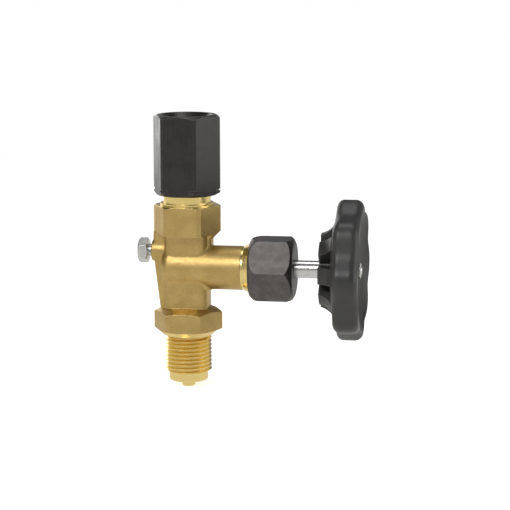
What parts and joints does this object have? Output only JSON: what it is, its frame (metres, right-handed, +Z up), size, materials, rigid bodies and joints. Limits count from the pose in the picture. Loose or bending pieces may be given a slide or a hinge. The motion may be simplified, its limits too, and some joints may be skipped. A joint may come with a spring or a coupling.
{
  "type": "needle valve",
  "caption": "Brass gauge shut-off needle valve with hexagonal clamping sleeve, side stem with gland nut and lobed handwheel, threaded process end and vent screw.",
  "frame": {"origin": "centre of the process connection's flat end face, at the root of its centring spigot", "axes": "+Z up along the process and gauge axis to the gauge socket, +X along the stem to the handwheel"},
  "size_m": [0.1009, 0.063, 0.1226],
  "materials": {
    "brass_body": "forged, matt, turned bright on threads and collars",
    "black_steel": "black oxide, oiled satin",
    "dark_steel": "phosphated, matt grey",
    "polished_steel": "polished stainless",
    "zinc_steel": "bright zinc plated",
    "turned_brass": "turned",
    "packing_white": "smooth, waxy",
    "seal_copper": "soft annealed copper",
    "wheel_black": "moulded, satin"
  },
  "bodies": {
    "body": {"valve_body": "brass_body", "gauge_seal_ring": "seal_copper", "packing_base_washer": "polished_steel", "packing_header_ring": "packing_white", "packing_v_ring_1": "packing_white", "packing_v_ring_2": "packing_white", "packing_v_ring_3": "packing_white", "packing_adapter_ring": "packing_white"},
    "sleeve": {"clamp_sleeve": "black_steel"},
    "needle": {"needle_tip": "polished_steel", "needle_retaining_ring": "polished_steel"},
    "stem": {"valve_stem": "polished_steel", "handwheel": "wheel_black", "handwheel_bush": "turned_brass", "handwheel_washer": "black_steel", "handwheel_nut": "zinc_steel"},
    "follower": {"gland_follower": "turned_brass"},
    "nut": {"gland_nut": "dark_steel"},
    "ball": {"vent_ball": "polished_steel"},
    "screw": {"vent_screw": "zinc_steel"}
  },
  "joints": [
    {"name": "sleeve_turn", "type": "hinge", "parent": "body", "child": "sleeve", "pos_m": [0, 0, 0.09], "axis": [0, 0, 1], "continuous": true},
    {"name": "needle_travel", "type": "slide", "parent": "body", "child": "needle", "axis": [1, 0, 0], "range_m": [-0.0065, 0]},
    {"name": "wheel_turn", "type": "hinge", "parent": "needle", "child": "stem", "pos_m": [0.05, 0, 0.0513], "axis": [1, 0, 0], "range_deg": [-1560, 0]},
    {"name": "gland_travel", "type": "slide", "parent": "body", "child": "follower", "axis": [1, 0, 0], "range_m": [0, 0.0015]},
    {"name": "gland_nut_turn", "type": "hinge", "parent": "follower", "child": "nut", "pos_m": [0.036, 0, 0.0513], "axis": [1, 0, 0], "range_deg": [0, 360]},
    {"name": "vent_travel", "type": "slide", "parent": "body", "child": "ball", "axis": [1, 0, 0], "range_m": [-0.0025, 0]},
    {"name": "vent_screw_turn", "type": "hinge", "parent": "ball", "child": "screw", "pos_m": [-0.014, 0, 0.0585], "axis": [1, 0, 0], "range_deg": [-900, 0]}
  ],
  "couplings": [
    {"joint": "wheel_turn", "follows": "needle_travel", "rad_per_m": 4188.8},
    {"joint": "gland_nut_turn", "follows": "gland_travel", "rad_per_m": 4188.8},
    {"joint": "vent_screw_turn", "follows": "vent_travel", "rad_per_m": 6283.2}
  ]
}
